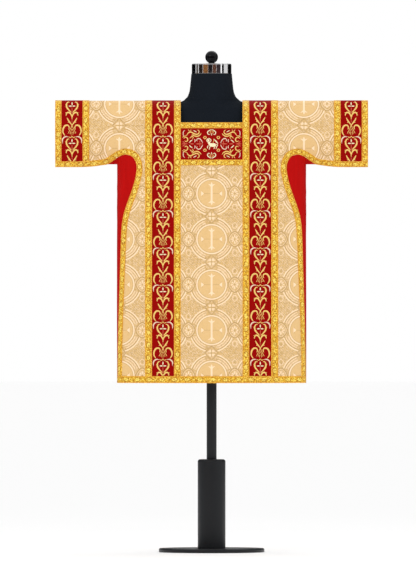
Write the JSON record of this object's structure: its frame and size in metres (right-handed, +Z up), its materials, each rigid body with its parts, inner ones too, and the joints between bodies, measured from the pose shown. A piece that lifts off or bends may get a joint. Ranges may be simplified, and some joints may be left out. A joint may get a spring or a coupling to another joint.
{
  "type": "tunicle on a dress form",
  "caption": "Straight-hanging church tunicle with wide short sleeves, square neck, orphrey bands and side gussets, on a limbless dress form with a round stand.",
  "frame": {"origin": "middle of the base plate's underside, on the floor under the form's neck", "axes": "+Z up, -Y is the garment's front, +X is the wearer's left"},
  "size_m": [1.126, 0.38, 1.8046],
  "materials": {
    "brocade": "cream and gold silk brocade with woven roundels, soft sheen",
    "red_satin": "plain red satin, soft sheen",
    "orphrey_red": "deep red woven band with gold and silver embroidery",
    "gold_braid": "gold galloon braid with a woven lozenge pattern",
    "form_jersey": "black knitted jersey cover, matt",
    "chrome": "bright polished chrome",
    "black_gloss": "high-gloss black",
    "stand_black": "black powder coat, satin"
  },
  "bodies": {
    "root": {"front": "brocade", "back": "brocade", "gusset_left": "red_satin", "gusset_right": "red_satin", "clavus_left": "orphrey_red", "clavus_right": "orphrey_red", "cuff_band_left": "orphrey_red", "cuff_band_right": "orphrey_red", "apparel": "orphrey_red", "clavus_inner_braid_left": "gold_braid", "clavus_outer_braid_left": "gold_braid", "clavus_inner_braid_right": "gold_braid", "clavus_outer_braid_right": "gold_braid", "cuff_inner_braid_left": "gold_braid", "cuff_outer_braid_left": "gold_braid", "cuff_inner_braid_right": "gold_braid", "cuff_outer_braid_right": "gold_braid", "edge_braid_front_left": "gold_braid", "edge_braid_front_right": "gold_braid", "edge_braid_back_left": "gold_braid", "edge_braid_back_right": "gold_braid", "hem_braid_front": "gold_braid", "hem_braid_back": "gold_braid", "neck_braid_front": "gold_braid", "neck_braid_back": "gold_braid", "apparel_braid": "gold_braid", "form_torso": "form_jersey", "form_neck_ring": "chrome", "form_neck_cap": "chrome", "form_finial": "black_gloss", "stand_base": "stand_black", "stand_column": "stand_black", "stand_pole": "stand_black"}
  },
  "joints": []
}
